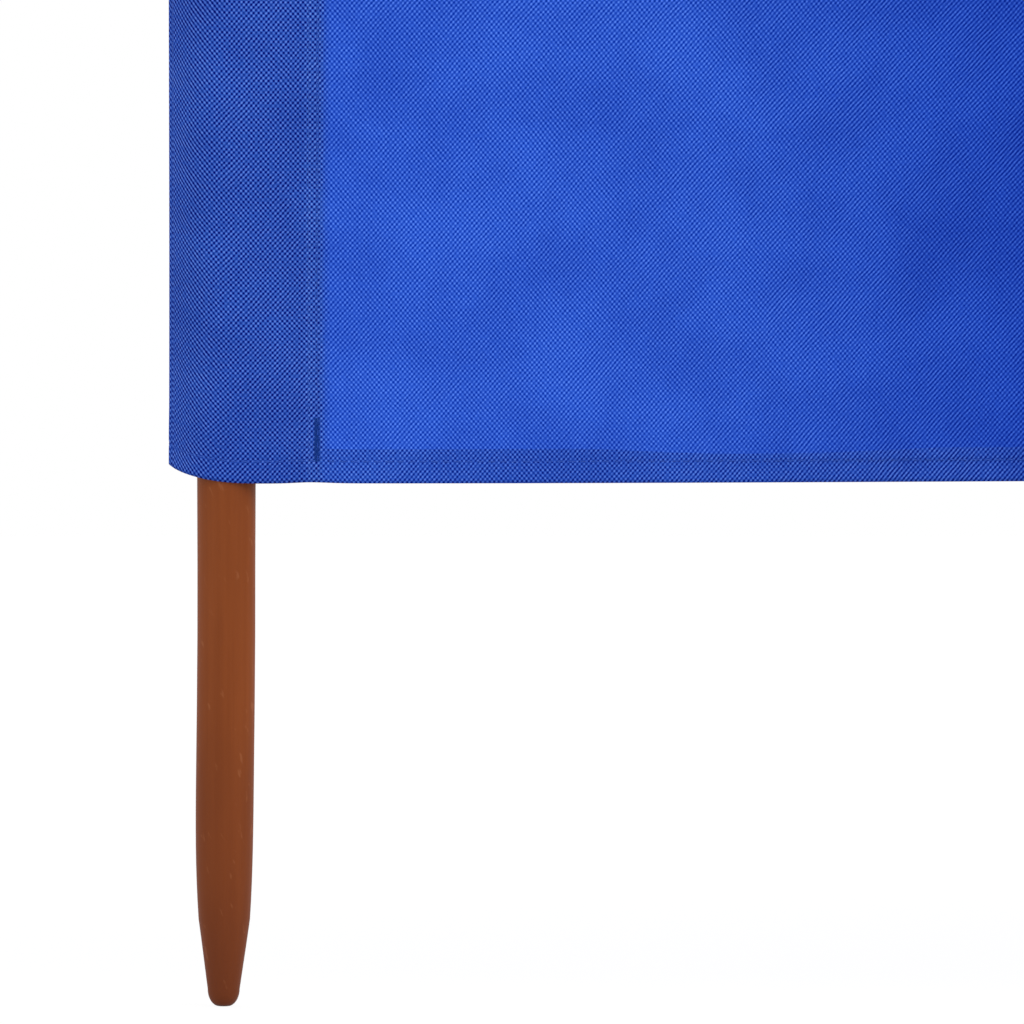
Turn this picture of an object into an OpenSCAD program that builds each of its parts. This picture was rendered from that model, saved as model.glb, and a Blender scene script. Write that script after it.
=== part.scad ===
// Beach windbreak: one long strip of cloth carried by round wooden stakes.
// Millimetres. +X runs along the cloth, +Z is up, and the cloth bellies out towards -Y.
// The origin is the middle of the flat tip of the middle stake.

/* [Run] */
// Number of bays, even so that a stake stands on the origin
bays = 4; // [2:2:6]
// Distance between the centres of neighbouring stakes
stake_pitch = 1236; // [900:1:1400]

/* [Stakes] */
// Diameter of a stake
stake_d = 28; // [24:1:30]
// Length of a stake from its tip to its top
stake_len = 1500; // [1480:10:1900]
// Diameter of the flat on the tip
tip_flat_d = 6; // [4:0.5:10]
// Diameter just above the rounded end of the tip
tip_d = 13.8; // [12:0.1:18]
// Height of the cone that points the stake
point_h = 42; // [36:1:60]
// Diameter where the cone meets the shoulder
point_d = 24.2; // [20:0.1:24.2]
// Diameter of the straight stretch above the shoulder, which goes into the ground
ground_d = 27.6; // [24.4:0.1:27.6]
// Height where the straight stretch starts
ground_from = 112; // [80:1:120]
// Length of the straight stretch
ground_len = 100; // [60:1:110]
// Height over which the stake then swells to its full diameter
swell_h = 12; // [4:1:15]
// Radius of the rounded top edge
top_round = 4; // [1:0.5:8]

/* [Cloth] */
// Thickness of one layer of cloth
cloth_t = 0.6; // [0.4:0.1:1]
// Height of the cloth from the lower fold to the upper fold
cloth_h = 1200; // [800:10:1200]
// Bare stake below the cloth
stake_below = 252; // [200:2:260]
// Height of a folded hem
hem_h = 16; // [10:1:25]
// Depth that the cloth of a bay bellies out
belly = 70; // [0:5:80]

/* [Sleeves] */
// Stake centre to the outer fold of an end sleeve
end_fold = 28; // [24:1:40]
// Stake centre to the sewn edge of an end sleeve
end_edge = 47.5; // [44:0.5:60]
// Stake centre to either sewn edge of an inner sleeve
inner_edge = 42; // [38:0.5:60]
// Width of the flat strip where the two layers are sewn together
flange_w = 8.5; // [6:0.5:12]
// How far in front of the centres of the stakes the cloth is sewn
seam_front = 9; // [1:0.5:12]
// How far in front of the centre of its stake the fold of an end sleeve lies
fold_front = 3; // [1:0.5:6]
// Gap between a stake and the cloth round it
sleeve_gap = 0.4; // [0.2:0.1:1]
// How far the lower edge climbs towards the fold of an end sleeve
lower_corner = 7; // [0:1:12]
// How far the upper edge drops towards the fold of an end sleeve
upper_corner = 4; // [0:1:12]

/* [Hidden] */
stake_r = stake_d / 2;
inside_r = stake_r + sleeve_gap;
outside_r = inside_r + cloth_t;
cloth_top = stake_below + cloth_h;
field_h = cloth_h - 2 * hem_h;
tip_round = (tip_d - tip_flat_d) / 2;
belly_steps = 48;
arc_steps = 10;
corner_steps = 8;
shoulder_steps = 6;
lap = 1; // how far a shape runs into or past another that it is joined to or cut from
stakes = [1 : bays + 1];
stake_colour = "#85452a";
field_colour = "#2f58ca";
double_colour = "#2c4eab";

// X of the centre of stake k, counted from 1 at the left.
function stake_x(k) = (k - 1 - bays / 2) * stake_pitch;

// Distance from the centre of stake k to the sewn edge of its sleeve.
function sewn_edge(k) = (k == 1 || k == bays + 1) ? end_edge : inner_edge;

// Y of the cloth at a share u of the way across a bay.
function belly_y(u) = -seam_front - belly * pow(sin(180 * u), 3);

// Direction from the origin of the point where a line from p touches a circle of radius r.
function touch(r, p, side) = atan2(p.y, p.x) + side * acos(r / norm(p));

// Arc of radius r between two directions, from the first to the second.
function arc(r, from, to) =
    [for (i = [0 : arc_steps]) let (t = from + (to - from) * i / arc_steps) r * [cos(t), sin(t)]];

// Outline of a thread drawn tight round a circle of radius r from point left to point right, both at y < 0.
function lens(r, left, right) = concat(
    [left], arc(r, touch(r, left, -1) + 360, touch(r, right, 1)),
    [right], arc(r, touch(r, right, -1), touch(r, left, 1))
);

// Radius of the shoulder at a share s of its height, easing from the cone into the straight stretch.
function shoulder_r(s) = (ground_d - (ground_d - point_d) * pow(1 - s, 3)) / 2;

// Half outline of a stake as [radius, height] from the tip up.
function stake_outline() = concat(
    [[0, 0], [tip_flat_d / 2, 0]],
    [for (t = [-60 : 30 : 0]) [tip_flat_d / 2 + tip_round * cos(t), tip_round * (1 + sin(t))]],
    [for (i = [0 : shoulder_steps])
        let (s = i / shoulder_steps) [shoulder_r(s), point_h + s * (ground_from - point_h)]],
    [[ground_d / 2, ground_from + ground_len], [stake_r, ground_from + ground_len + swell_h]],
    [for (t = [0 : 30 : 90])
        [stake_r - top_round * (1 - cos(t)), stake_len - top_round * (1 - sin(t))]],
    [[0, stake_len]]
);

// A stake turned from one length of round wood, pointed below and rounded on top.
module stake(k) {
    color(stake_colour)
        translate([stake_x(k), 0, 0])
            rotate_extrude($fn = 96)
                polygon(stake_outline());
}

// Cloth drawn round a stake from the fold or flange that starts at left to the one that starts at right.
module sleeve_loop(left, right) {
    shrink = inside_r / outside_r;
    difference() {
        union() {
            linear_extrude(cloth_h) polygon(lens(outside_r, left, right));
            children();
        }
        translate([0, 0, -lap])
            linear_extrude(cloth_h + 2 * lap) polygon(lens(inside_r, left * shrink, right * shrink));
    }
}

// The two layers sewn flat together, ending at x = edge.
module flange(edge) {
    translate([edge - flange_w - lap, -seam_front - cloth_t, 0])
        cube([flange_w + lap, 2 * cloth_t, cloth_h]);
}

// What is cut off the lower or upper corner of an end sleeve, as a curve from the stake to the fold.
module corner_cut(rise) {
    reach = end_fold + stake_r;
    curve = [for (i = [0 : corner_steps]) let (s = i / corner_steps) [stake_r - s * reach, rise * s * s]];
    rotate([90, 0, 0])
        linear_extrude(4 * stake_r, center = true)
            polygon(concat(curve, [[-end_fold - lap, rise], [-end_fold - lap, -lap], [stake_r, -lap]]));
}

// The end of the cloth folded back round the outermost stake and sewn to itself.
module end_sleeve() {
    color(double_colour)
        difference() {
            sleeve_loop([-end_fold, -fold_front], [end_edge - flange_w, -seam_front]) flange(end_edge);
            if (lower_corner > 0) corner_cut(lower_corner);
            if (upper_corner > 0) translate([0, 0, cloth_h]) mirror([0, 0, 1]) corner_cut(upper_corner);
        }
}

// Half of the sleeve round an inner stake: side -1 is the cloth in front, 1 is the strip sewn on behind.
module inner_sleeve(k, side) {
    start = inner_edge - flange_w;
    color(double_colour)
        translate([stake_x(k), 0, stake_below])
            intersection() {
                sleeve_loop([-start, -seam_front], [start, -seam_front]) {
                    flange(inner_edge);
                    mirror([1, 0, 0]) flange(inner_edge);
                }
                translate([-inner_edge, side < 0 ? -4 * stake_r - seam_front : -seam_front, 0])
                    cube([2 * inner_edge, 4 * stake_r, cloth_h]);
            }
}

// A strip of cloth across bay k, from height z, with its back face behind by extra.
module bay_strip(k, z, height, extra) {
    from = stake_x(k) + sewn_edge(k);
    span = stake_x(k + 1) - sewn_edge(k + 1) - from;
    line = [for (i = [0 : belly_steps]) let (u = i / belly_steps) [from + u * span, belly_y(u)]];
    behind = [for (i = [belly_steps : -1 : 0]) line[i] + [0, extra]];
    translate([0, 0, z])
        linear_extrude(height)
            polygon(concat([for (p = line) p - [0, cloth_t]], behind));
}

// The single layer that fills bay k between its hems.
module bay_cloth(k) {
    color(field_colour) bay_strip(k, stake_below + hem_h, field_h, 0);
}

// A hem of bay k: the edge of the cloth turned up behind and sewn down as a second layer.
module bay_hem(k, z) {
    color(double_colour) bay_strip(k, z, hem_h, cloth_t);
}

for (k = stakes)
    stake(k);
translate([stake_x(1), 0, stake_below]) end_sleeve();  // left_end_sleeve
translate([stake_x(bays + 1), 0, stake_below]) mirror([1, 0, 0]) end_sleeve();  // right_end_sleeve
for (k = [2 : bays]) {
    inner_sleeve(k, -1);
    inner_sleeve(k, 1);
}
for (k = [1 : bays]) {
    bay_cloth(k);
    bay_hem(k, stake_below);
    bay_hem(k, cloth_top - hem_h);
}
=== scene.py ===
"""A beach windbreak: four bays of sewn blue cloth carried by five pointed, stained stakes.

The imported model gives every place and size. This script makes the sewn cloth with its folds and hems, the
stitching, the turned wood and the light round them. Metres, +X along the run, +Z up, -Y the front.
"""

from __future__ import annotations

import logging
import math
from abc import ABC, abstractmethod
from bisect import bisect_right
from collections.abc import Sequence
from dataclasses import dataclass, field
from enum import Enum

import bmesh
import bpy
from mathutils import Matrix, Vector, noise

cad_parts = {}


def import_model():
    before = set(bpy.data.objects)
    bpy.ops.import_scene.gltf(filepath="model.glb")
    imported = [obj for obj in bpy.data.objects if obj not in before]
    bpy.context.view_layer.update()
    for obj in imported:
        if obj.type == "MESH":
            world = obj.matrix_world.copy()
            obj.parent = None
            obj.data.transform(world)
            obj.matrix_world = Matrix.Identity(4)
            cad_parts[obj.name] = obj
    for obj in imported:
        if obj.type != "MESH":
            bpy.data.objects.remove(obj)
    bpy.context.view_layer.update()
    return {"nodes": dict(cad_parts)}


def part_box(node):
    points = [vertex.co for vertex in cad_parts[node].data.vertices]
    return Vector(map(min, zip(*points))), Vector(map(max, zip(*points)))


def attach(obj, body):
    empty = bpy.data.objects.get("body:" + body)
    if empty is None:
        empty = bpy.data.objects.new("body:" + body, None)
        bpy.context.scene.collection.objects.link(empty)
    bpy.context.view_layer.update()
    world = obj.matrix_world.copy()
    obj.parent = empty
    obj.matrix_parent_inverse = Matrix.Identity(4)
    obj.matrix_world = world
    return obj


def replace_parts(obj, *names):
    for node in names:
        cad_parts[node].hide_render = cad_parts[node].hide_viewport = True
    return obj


LOG = logging.getLogger("windbreak")
BODY = "root"
MM = 0.001
RGB = tuple[float, float, float]


class Slot(Enum):
    """The record's material slots."""

    WOOD = "stained_wood"
    SINGLE = "cloth_single"
    DOUBLE = "cloth_double"
    THREAD = "thread"


class Face(Enum):
    """A side of a cloth, as a sign along its outward direction."""

    OUTER = 1
    INNER = -1


def smoothstep(low: float, high: float, value: float) -> float:
    """Ease from 0 at low to 1 at high."""
    share = min(1.0, max(0.0, (value - low) / (high - low)))
    return share * share * (3 - 2 * share)


def bell(distance: float, width: float) -> float:
    """A rounded bump, 1 at no distance and fading over width."""
    return math.exp(-((distance / width) ** 2))


def steps(start: float, end: float, size: float) -> list[float]:
    """Evenly spaced values after start up to end, about size apart."""
    count = max(1, round((end - start) / size))
    return [start + (end - start) * i / count for i in range(1, count + 1)]


def linear(red: int, green: int, blue: int) -> RGB:
    """A colour written as 0 to 255 on a screen, as the shader takes it."""

    def channel(value: int) -> float:
        share = value / 255
        return share / 12.92 if share <= 0.04045 else ((share + 0.055) / 1.055) ** 2.4

    return channel(red), channel(green), channel(blue)


# ---------------------------------------------------------------------------------------------- layout


@dataclass(frozen=True)
class Layout:
    """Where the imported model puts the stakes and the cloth.

    Attributes:
        stakes: X of the centre of each stake, from the left.
        stake_radius: Radius of a stake.
        stake_top: Height of the top of a stake.
        lower: Height of the lower fold of the cloth.
        upper: Height of the upper fold.
        hem: Height of a hem.
        cloth: Thickness of one layer.
        seam_y: Y of the plane where the layers of a sleeve are sewn together.
        belly: Depth that the cloth of a bay bellies out.
        end_fold: Stake centre to the fold of an end sleeve.
        end_edge: Stake centre to the sewn edge of an end sleeve.
        inner_edge: Stake centre to a sewn edge of an inner sleeve.
    """

    stakes: tuple[float, ...]
    stake_radius: float
    stake_top: float
    lower: float
    upper: float
    hem: float
    cloth: float
    seam_y: float
    belly: float
    end_fold: float
    end_edge: float
    inner_edge: float

    @classmethod
    def from_frame(cls, nodes: dict[str, bpy.types.Object]) -> Layout:
        """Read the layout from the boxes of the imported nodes.

        Args:
            nodes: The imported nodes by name.

        Returns:
            The layout.
        """
        stakes = [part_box(f"stake_{k + 1}") for k in range(sum(n.startswith("stake_") for n in nodes))]
        centres = tuple((low.x + high.x) / 2 for low, high in stakes)
        low, high = stakes[0]
        hem_low, hem_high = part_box("bay_1_bottom_hem")
        top_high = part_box("bay_1_top_hem")[1]
        seam_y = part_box("sleeve_2_back")[0].y
        cloth = hem_high.y - seam_y
        left_low, left_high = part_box("left_end_sleeve")
        inner_low, inner_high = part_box("sleeve_2_front")
        return cls(
            stakes=centres,
            stake_radius=(high.x - low.x) / 2,
            stake_top=high.z,
            lower=hem_low.z,
            upper=top_high.z,
            hem=hem_high.z - hem_low.z,
            cloth=cloth,
            seam_y=seam_y,
            belly=seam_y - cloth - hem_low.y,
            end_fold=centres[0] - left_low.x,
            end_edge=left_high.x - centres[0],
            inner_edge=(inner_high.x - inner_low.x) / 2,
        )

    @property
    def bays(self) -> int:
        """How many bays there are."""
        return len(self.stakes) - 1

    def waver(self, x: float, h: float, clear: float) -> float:
        """How far the cloth strays to the side beside a sewn edge.

        Args:
            x: Where the sewn edge is.
            h: Height above the lower fold.
            clear: Distance from the sewn edge.

        Returns:
            How far it strays towards +X.
        """
        stray = 0.5 * MM * noise.noise(Vector((x * 7, h * 9, 0.4))) - 0.2 * MM
        return stray * self.towards_bay(x) * (1 - smoothstep(0.0, 18 * MM, clear))

    def towards_bay(self, x: float) -> int:
        """1 where the bay beside a sewn edge is to its right, -1 where it is to its left."""
        nearest = min(self.stakes, key=lambda stake: abs(stake - x))
        return 1 if x > nearest else -1

    def gather(self, clear: float, share: float) -> float:
        """How far the hems, and the seams beside a sewn edge, draw in the cloth's lower and upper edge.

        Args:
            clear: Distance from the sewn edge, below 0 on the bay's side.
            share: Height as a share of the cloth's.

        Returns:
            How far the cloth is raised, below 0 near its upper edge.
        """
        return (0.55 * MM * bell(clear - 6.5 * MM, 12 * MM) + 0.2 * MM) * (1 - 2 * share)

    @property
    def height(self) -> float:
        """Height between the middles of the cloth at its two folds."""
        return self.upper - self.lower - self.cloth


# ------------------------------------------------------------------------------------------- materials


class Nodes:
    """Places shader nodes in one tree and joins them."""

    def __init__(self, tree: bpy.types.NodeTree) -> None:
        """Start on a node tree, which is emptied."""
        self.tree = tree
        tree.nodes.clear()

    def add(self, kind: str, inputs: dict[str, object] | None = None, **settings: object) -> bpy.types.Node:
        """Add a node.

        Args:
            kind: The node's type name.
            inputs: For named inputs, a socket to join or a value to set.
            **settings: Properties of the node.

        Returns:
            The node.
        """
        node = self.tree.nodes.new(kind)
        for name, value in settings.items():
            setattr(node, name, value)
        for name, value in (inputs or {}).items():
            self.put(node.inputs[name], value)
        return node

    def put(self, socket: bpy.types.NodeSocket, value: object) -> None:
        """Join a socket or a number, colour or vector to an input."""
        if isinstance(value, bpy.types.NodeSocket):
            self.tree.links.new(value, socket)
        elif isinstance(value, tuple) and len(value) == 3 and socket.type == "RGBA":
            socket.default_value = (*value, 1.0)
        else:
            socket.default_value = value

    def math(self, operation: str, *values: object, clamp: bool = False) -> bpy.types.NodeSocket:
        """Work out a number from sockets and numbers."""
        node = self.add("ShaderNodeMath", operation=operation, use_clamp=clamp)
        for socket, value in zip(node.inputs, values):
            self.put(socket, value)
        return node.outputs[0]

    def ramp(self, value: object, low: float, high: float, to_low: float = 0.0, to_high: float = 1.0):
        """Ease a number from one range to another."""
        node = self.add("ShaderNodeMapRange", interpolation_type="SMOOTHSTEP")
        for socket, entry in zip(node.inputs, (value, low, high, to_low, to_high)):
            self.put(socket, entry)
        return node.outputs[0]

    def mix(self, share: object, first: object, second: object, blend: str = "MIX") -> bpy.types.NodeSocket:
        """Mix two colours."""
        node = self.add("ShaderNodeMix", data_type="RGBA", blend_type=blend)
        self.put(node.inputs[0], share)
        self.put(node.inputs[6], first)
        self.put(node.inputs[7], second)
        return node.outputs[2]

    def blend(self, share: object, first: object, second: object) -> bpy.types.NodeSocket:
        """Mix two shaders."""
        node = self.add("ShaderNodeMixShader")
        for socket, value in zip(node.inputs, (share, first, second)):
            self.put(socket, value)
        return node.outputs[0]

    def mask(self, name: str) -> bpy.types.NodeSocket:
        """Read a number that the mesh holds at its corners."""
        return self.add("ShaderNodeAttribute", attribute_name=name).outputs["Fac"]

    def end(self, shader: bpy.types.NodeSocket, kind: str = "ShaderNodeOutputMaterial") -> None:
        """Put a shader into the tree's output."""
        self.put(self.add(kind).inputs[0], shader)

    def noise(self, vector: object, scale: float, detail: float = 2.0, rough: float = 0.5) -> bpy.types.Node:
        """Add a noise texture read at a vector."""
        return self.add(
            "ShaderNodeTexNoise",
            {"Vector": vector, "Scale": scale, "Detail": detail, "Roughness": rough},
        )

    def stretch(self, vector: object, scale: tuple[float, float, float]) -> bpy.types.NodeSocket:
        """Scale a vector differently along each axis."""
        return self.add("ShaderNodeMapping", {"Vector": vector, "Scale": scale}).outputs[0]


def new_material(name: str) -> tuple[bpy.types.Material, Nodes]:
    """Make a material with an empty node tree, and what places nodes in it."""
    made = bpy.data.materials.new(name)
    made.use_nodes = True
    return made, Nodes(made.node_tree)


def new_group(name: str, inputs: dict[str, tuple[str, float]], outputs: Sequence[tuple[str, str]]):
    """Make an empty shader node group.

    Args:
        name: The group's name.
        inputs: For each input, its socket type and first value.
        outputs: Name and socket type of each output.

    Returns:
        The group's nodes, its input node and its output node.
    """
    tree = bpy.data.node_groups.new(name, "ShaderNodeTree")
    for title, (kind, value) in inputs.items():
        socket = tree.interface.new_socket(title, in_out="INPUT", socket_type=kind)
        if kind == "NodeSocketFloat":
            socket.default_value = value
    for title, kind in outputs:
        tree.interface.new_socket(title, in_out="OUTPUT", socket_type=kind)
    nodes = Nodes(tree)
    return nodes, nodes.add("NodeGroupInput"), nodes.add("NodeGroupOutput")


@dataclass(frozen=True)
class PressedLattice:
    """The staggered dots that bond the cloth, as a shader group.

    Attributes:
        along: Distance between dots along a row.
        up: Distance between every second row.
        sway: How far the lean towards one diagonal varies.
        wander: How far a dot strays from its place.
    """

    along: float = 2.32 * MM
    up: float = 2.62 * MM
    sway: float = 0.11
    wander: float = 0.36 * MM

    def group(self) -> bpy.types.NodeTree:
        """Build the group. It puts out the dots, the ridges between them, and the height of both."""
        nodes, source, sink = new_group(
            "pressed_lattice",
            {"Vector": ("NodeSocketVector", 0.0), "Lean": ("NodeSocketFloat", 0.0)},
            [("Dots", "NodeSocketFloat"), ("Ridges", "NodeSocketFloat"), ("Height", "NodeSocketFloat")],
        )
        place = source.outputs["Vector"]
        stray = nodes.noise(place, 45.0, 5.0, 0.62).outputs["Color"]
        offset = nodes.add("ShaderNodeVectorMath", {0: stray, 1: (0.5, 0.5, 0.5)}, operation="SUBTRACT")
        moved = nodes.add(
            "ShaderNodeVectorMath",
            {0: offset.outputs[0], 1: (4 * self.wander, 4 * self.wander, 0.0), 2: place},
            operation="MULTIPLY_ADD",
        )
        parts = nodes.add("ShaderNodeSeparateXYZ", {0: moved.outputs[0]})
        across = nodes.math("MULTIPLY", parts.outputs[0], math.tau / self.along)
        upward = nodes.math("MULTIPLY", parts.outputs[1], math.tau / self.up)
        rising = nodes.math("COSINE", nodes.math("SUBTRACT", across, upward))
        falling = nodes.math("COSINE", nodes.math("ADD", across, upward))
        swayed = nodes.ramp(nodes.noise(place, 34.0, 4.0, 0.75).outputs[0], 0.34, 0.66, -self.sway, self.sway)
        share = nodes.math("ADD", nodes.math("ADD", source.outputs["Lean"], swayed), 0.5)
        rest = nodes.math("SUBTRACT", 1.0, share)
        wave = nodes.math("MULTIPLY_ADD", rising, share, nodes.math("MULTIPLY", falling, rest))
        uneven = nodes.ramp(nodes.noise(place, 420.0, 1.0).outputs[0], 0.3, 0.7, 0.5, 1.25)
        dots = nodes.math("MULTIPLY", nodes.ramp(wave, 0.0, 0.72), uneven)
        ridges = nodes.math("MULTIPLY", nodes.ramp(wave, -0.08, -0.85), uneven)
        nodes.put(sink.inputs["Dots"], dots)
        nodes.put(sink.inputs["Ridges"], ridges)
        nodes.put(sink.inputs["Height"], nodes.math("SUBTRACT", ridges, dots))
        return nodes.tree


@dataclass(frozen=True)
class LayerTint:
    """How one thickness of cloth looks.

    Attributes:
        ground: Colour between the dots and the ridges.
        dots: Colour of a pressed dot.
        ridges: Colour of a ridge.
    """

    ground: RGB
    dots: RGB
    ridges: RGB


@dataclass(frozen=True)
class ClothFinish:
    """Blue non-woven cloth with pressed dots, darker where it lies double and painted lighter where it lies
    single, as light shining through one layer.

    Attributes:
        single: Look of one layer, painted lighter as light shining through it.
        double: Look of two or more.
        cloudy: What the colour is multiplied by in a dark and in a light cloud of the dye.
        deep: What the colour is multiplied by where the painted shade is strongest.
        fold_shade_tint: What it is multiplied by in the painted shade along a fold.
        seam_highlight_tint: What it is multiplied by in the painted highlight along the seams.
        roughness: Roughness of the ground.
    """

    single: LayerTint = LayerTint(linear(43, 88, 207), linear(2, 47, 166), linear(87, 133, 243))
    double: LayerTint = LayerTint(linear(37, 78, 179), linear(0, 0, 107), linear(95, 132, 223))
    cloudy: tuple[RGB, RGB] = ((0.85, 0.86, 0.91), (1.14, 1.12, 1.07))
    deep: RGB = (0.5, 0.6, 0.775)
    fold_shade_tint: RGB = (0.62, 0.66, 0.72)
    seam_highlight_tint: RGB = (1.38, 1.3, 1.14)
    roughness: float = 0.7

    def material(self, lattice: bpy.types.NodeTree) -> bpy.types.Material:
        """Build the material.

        Args:
            lattice: The pressed lattice group.

        Returns:
            The material, which reads the cloth's own UV map and its layers.
        """
        made, nodes = new_material("pressed_blue_cloth")
        flat = nodes.add("ShaderNodeUVMap", uv_map=Sheet.UV).outputs[0]
        layers = nodes.mask(Sheet.LAYERS)
        dotted = nodes.add("ShaderNodeGroup", node_tree=lattice)
        nodes.put(dotted.inputs["Vector"], flat)
        nodes.put(dotted.inputs["Lean"], nodes.mask(Sheet.LEAN))
        # The single cloth's colours are painted lighter, as light shining through one layer.
        ground = nodes.mix(layers, self.single.ground, self.double.ground)
        dots = nodes.mix(layers, self.single.dots, self.double.dots)
        ridges = nodes.mix(layers, self.single.ridges, self.double.ridges)
        pressed = nodes.math("MULTIPLY", dotted.outputs["Dots"], nodes.math("MULTIPLY_ADD", layers, 0.2, 1.0))
        colour = nodes.mix(pressed, ground, dots)
        colour = nodes.mix(dotted.outputs["Ridges"], colour, ridges)
        # Painted shade away from the seams and along the folds, and a painted highlight along the seams.
        tints = {Sheet.DEEP: self.deep, Sheet.CREASE: self.fold_shade_tint, Sheet.STRAIN: self.seam_highlight_tint}
        for mask, tint in tints.items():
            colour = nodes.mix(nodes.mask(mask), colour, tint, "MULTIPLY")
        clouds = nodes.noise(flat, 16.0, 6.0, 0.62).outputs[0]
        colour = nodes.mix(1.0, colour, nodes.mix(nodes.ramp(clouds, 0.3, 0.7), *self.cloudy), "MULTIPLY")
        fibres = nodes.noise(nodes.stretch(flat, (900.0, 1300.0, 1.0)), 1.0, 3.0, 0.7).outputs[0]
        scaled = nodes.add("ShaderNodeVectorMath", {0: colour}, operation="SCALE")
        nodes.put(scaled.inputs["Scale"], nodes.ramp(fibres, 0.25, 0.75, 0.94, 1.06))
        rough = nodes.math("MULTIPLY_ADD", dotted.outputs["Dots"], -0.12, self.roughness)
        relief = nodes.math("MULTIPLY_ADD", fibres, 0.35, dotted.outputs["Height"])
        bump = nodes.add("ShaderNodeBump", {"Height": relief, "Strength": 0.5, "Distance": 0.09 * MM})
        shader = nodes.add(
            "ShaderNodeBsdfPrincipled",
            {
                "Base Color": scaled.outputs[0],
                "Roughness": rough,
                "Normal": bump.outputs[0],
                "Specular IOR Level": 0.03,
            },
        )
        nodes.end(shader.outputs[0])
        return made


@dataclass(frozen=True)
class WoodFinish:
    """Round softwood, stained reddish brown and satin varnished.

    Attributes:
        light: Colour of the pale grain.
        dark: Colour of the dark grain.
        tip_colour: Colour towards the cut point, where the wood grows darker.
        darkens_below: Heights up to which it darkens a little and a lot.
        scuffed: Colour of a scuff.
    """

    light: RGB = linear(136, 68, 27)
    dark: RGB = linear(125, 60, 21)
    tip_colour: RGB = linear(104, 47, 17)
    darkens_below: tuple[float, float] = (0.157, 0.085)
    scuffed: RGB = linear(160, 98, 60)

    def material(self) -> bpy.types.Material:
        """Build the material, whose grain runs up the object."""
        made, nodes = new_material("stained_satin_wood")
        place = nodes.add("ShaderNodeTexCoord").outputs["Object"]
        bands = nodes.noise(nodes.stretch(place, (190.0, 190.0, 3.2)), 1.0, 4.0, 0.6).outputs[0]
        pores = nodes.noise(nodes.stretch(place, (1500.0, 1500.0, 26.0)), 1.0, 2.0, 0.6).outputs[0]
        patches = nodes.noise(nodes.stretch(place, (40.0, 40.0, 9.0)), 1.0, 3.0, 0.55).outputs[0]
        grain = nodes.math("MULTIPLY_ADD", patches, 0.45, nodes.math("MULTIPLY", bands, 0.7))
        colour = nodes.mix(nodes.ramp(grain, 0.4, 0.76), self.dark, self.light)
        pore = nodes.ramp(pores, 0.6, 0.74)
        colour = nodes.mix(nodes.math("MULTIPLY", pore, 0.3), colour, self.dark)
        height = nodes.add("ShaderNodeSeparateXYZ", {0: place}).outputs[2]
        height = nodes.math("MULTIPLY_ADD", patches, 0.01, height)
        # Darker towards the bottom of the stake: a little below the higher of the two heights, more below the
        # lower.
        little, much = self.darkens_below
        tip_share = nodes.ramp(height, 0.1, little, 0.37, 0.0)
        tip_share = nodes.math("ADD", tip_share, nodes.ramp(height, 0.0, much, 0.55, 0.0))
        colour = nodes.mix(tip_share, colour, self.tip_colour)
        aslant = nodes.add("ShaderNodeVectorRotate", {"Vector": place, "Angle": 0.4}, rotation_type="Y_AXIS")
        scuffs = nodes.noise(nodes.stretch(aslant.outputs[0], (300.0, 300.0, 75.0)), 1.0, 2.0, 0.5).outputs[0]
        scuff = nodes.ramp(scuffs, 0.64, 0.76)
        colour = nodes.mix(nodes.math("MULTIPLY", scuff, 0.36), colour, self.scuffed)
        rough = nodes.math("MULTIPLY_ADD", bands, 0.16, 0.4)
        relief = nodes.math("SUBTRACT", nodes.math("MULTIPLY", bands, 0.5), pore)
        bump = nodes.add("ShaderNodeBump", {"Height": relief, "Strength": 0.35, "Distance": 0.12 * MM})
        shader = nodes.add(
            "ShaderNodeBsdfPrincipled",
            {
                "Base Color": colour,
                "Roughness": rough,
                "Normal": bump.outputs[0],
                "Specular IOR Level": 0.0,
                "Coat Weight": 0.28,
                "Coat Roughness": 0.34,
            },
        )
        nodes.end(shader.outputs[0])
        return made


@dataclass(frozen=True)
class ThreadFinish:
    """Twisted polyester sewing thread.

    Attributes:
        name: Name of the material.
        colour: Colour of the thread.
    """

    name: str
    colour: RGB

    def material(self) -> bpy.types.Material:
        """Build the material, with the twist of the thread along it."""
        made, nodes = new_material(self.name)
        place = nodes.add("ShaderNodeTexCoord").outputs["Object"]
        ply = nodes.noise(nodes.stretch(place, (2600.0, 2600.0, 2600.0)), 1.0, 1.0).outputs[0]
        tone = nodes.ramp(ply, 0.3, 0.7, 0.8, 1.2)
        colour = nodes.add("ShaderNodeVectorMath", {0: self.colour}, operation="SCALE")
        nodes.put(colour.inputs["Scale"], tone)
        bump = nodes.add("ShaderNodeBump", {"Height": ply, "Strength": 0.5, "Distance": 0.08 * MM})
        shader = nodes.add(
            "ShaderNodeBsdfPrincipled",
            {
                "Base Color": colour.outputs[0],
                "Normal": bump.outputs[0],
                "Roughness": 0.5,
                "Specular IOR Level": 0.12,
            },
        )
        nodes.end(shader.outputs[0])
        return made


@dataclass(frozen=True)
class Wardrobe:
    """Every material of the windbreak."""

    cloth: bpy.types.Material
    wood: bpy.types.Material
    thread: bpy.types.Material
    tack: bpy.types.Material

    @classmethod
    def make(cls) -> Wardrobe:
        """Build the materials once."""
        return cls(
            cloth=ClothFinish().material(PressedLattice().group()),
            wood=WoodFinish().material(),
            thread=ThreadFinish("blue_thread", linear(50, 86, 184)).material(),
            tack=ThreadFinish("dark_blue_thread", linear(14, 58, 144)).material(),
        )


# ------------------------------------------------------------------------------------------ mesh helpers


def show(name: str, data: bpy.types.ID) -> bpy.types.Object:
    """Put a mesh, a lamp or a camera in the scene as an object of that name."""
    made = bpy.data.objects.new(name, data)
    bpy.context.scene.collection.objects.link(made)
    return made


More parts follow.
